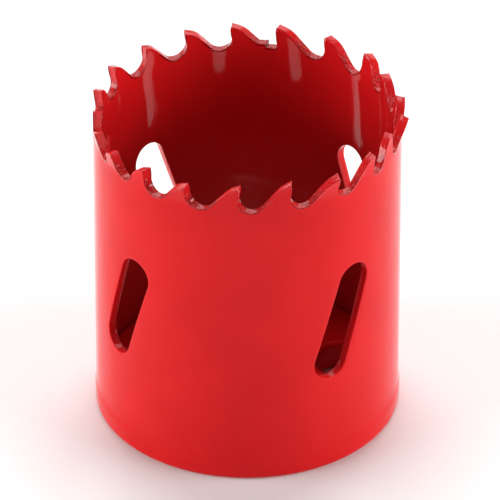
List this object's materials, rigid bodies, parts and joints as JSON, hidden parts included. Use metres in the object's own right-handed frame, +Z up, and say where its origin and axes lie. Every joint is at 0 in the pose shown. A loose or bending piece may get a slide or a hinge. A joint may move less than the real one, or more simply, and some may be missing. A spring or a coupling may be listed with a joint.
{
  "type": "hole saw",
  "caption": "Bi-metal hole saw: red steel cup with slanted side slots, set teeth round the rim and a threaded base cap with drive-pin holes.",
  "frame": {"origin": "on the saw's axis, in the plane of the base cap's flat bottom face, at the centre of the drive-pin circle", "axes": "+Z up along the saw's axis, from the base cap to the teeth; the four side slots are centred on +X, +Y, -X and -Y"},
  "size_m": [0.039, 0.0396, 0.0432],
  "materials": {
    "cap": "thick glossy red enamel on steel",
    "cup": "thick glossy red enamel on spring steel",
    "cutting_tips": "thick glossy red enamel on high-speed steel"
  },
  "bodies": {
    "root": {"base_cap": "cap", "cup_wall": "cup", "cutting_tip_01": "cutting_tips", "cutting_tip_02": "cutting_tips", "cutting_tip_03": "cutting_tips", "cutting_tip_04": "cutting_tips", "cutting_tip_05": "cutting_tips", "cutting_tip_06": "cutting_tips", "cutting_tip_07": "cutting_tips", "cutting_tip_08": "cutting_tips", "cutting_tip_09": "cutting_tips", "cutting_tip_10": "cutting_tips", "cutting_tip_11": "cutting_tips", "cutting_tip_12": "cutting_tips", "cutting_tip_13": "cutting_tips", "cutting_tip_14": "cutting_tips", "cutting_tip_15": "cutting_tips", "cutting_tip_16": "cutting_tips", "cutting_tip_17": "cutting_tips", "cutting_tip_18": "cutting_tips", "cutting_tip_19": "cutting_tips", "cutting_tip_20": "cutting_tips", "cutting_tip_21": "cutting_tips"}
  },
  "joints": []
}
